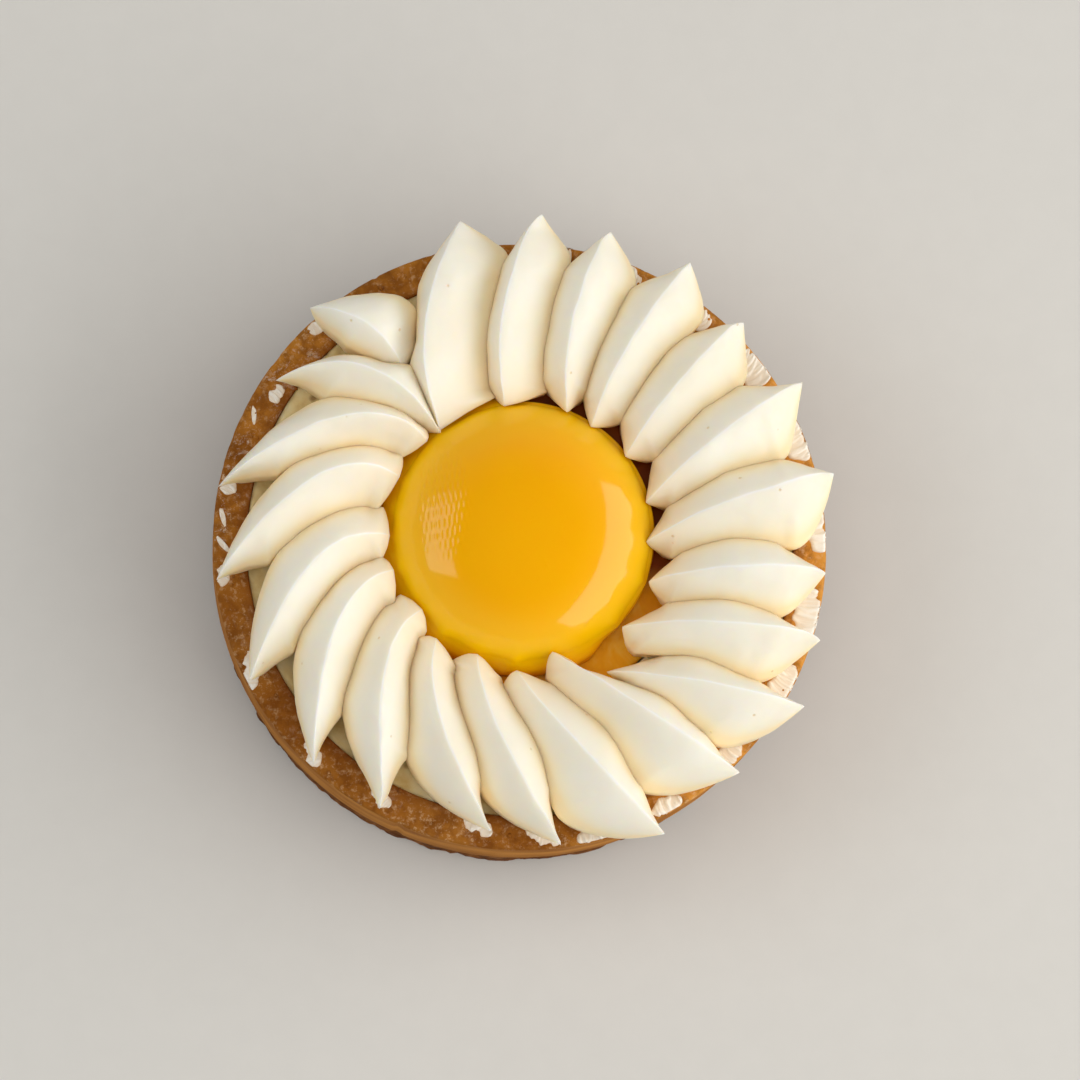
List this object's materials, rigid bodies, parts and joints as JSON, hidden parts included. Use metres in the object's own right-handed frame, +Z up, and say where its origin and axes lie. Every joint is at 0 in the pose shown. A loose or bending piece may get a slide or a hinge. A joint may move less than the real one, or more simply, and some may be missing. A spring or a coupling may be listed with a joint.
{
  "type": "mango tart",
  "caption": "Round straight-sided shortcrust tart with a glossy mango jelly dome in a swirled ring of piped cream petals, whole.",
  "frame": {"origin": "centre of the crust's flat underside", "axes": "+Z up out of the tart; +Y towards the first piped petal, which the picture shows at the top; +X to the picture's right"},
  "size_m": [0.0803, 0.0827, 0.0295],
  "materials": {
    "crust": "baked shortcrust, dry and powdery, golden brown rim and upper wall, dark toasted lower edge",
    "filling": "pale yellow pastry cream, soft satin",
    "jelly": "amber mango jelly, wet gloss",
    "dome": "deep yellow mango glaze, wet gloss",
    "cream": "ivory whipped cream, smooth satin with fine air pits"
  },
  "bodies": {
    "root": {"crust": "crust", "filling": "filling", "jelly_disc": "jelly", "dome": "dome", "cream_petal_01": "cream", "cream_petal_02": "cream", "cream_petal_03": "cream", "cream_petal_04": "cream", "cream_petal_05": "cream", "cream_petal_06": "cream", "cream_petal_07": "cream", "cream_petal_08": "cream", "cream_petal_09": "cream", "cream_petal_10": "cream", "cream_petal_11": "cream", "cream_petal_12": "cream", "cream_petal_13": "cream", "cream_petal_14": "cream", "cream_petal_15": "cream", "cream_petal_16": "cream", "cream_petal_17": "cream", "cream_petal_18": "cream", "cream_petal_19": "cream", "cream_petal_20": "cream", "cream_petal_21": "cream"}
  },
  "joints": []
}
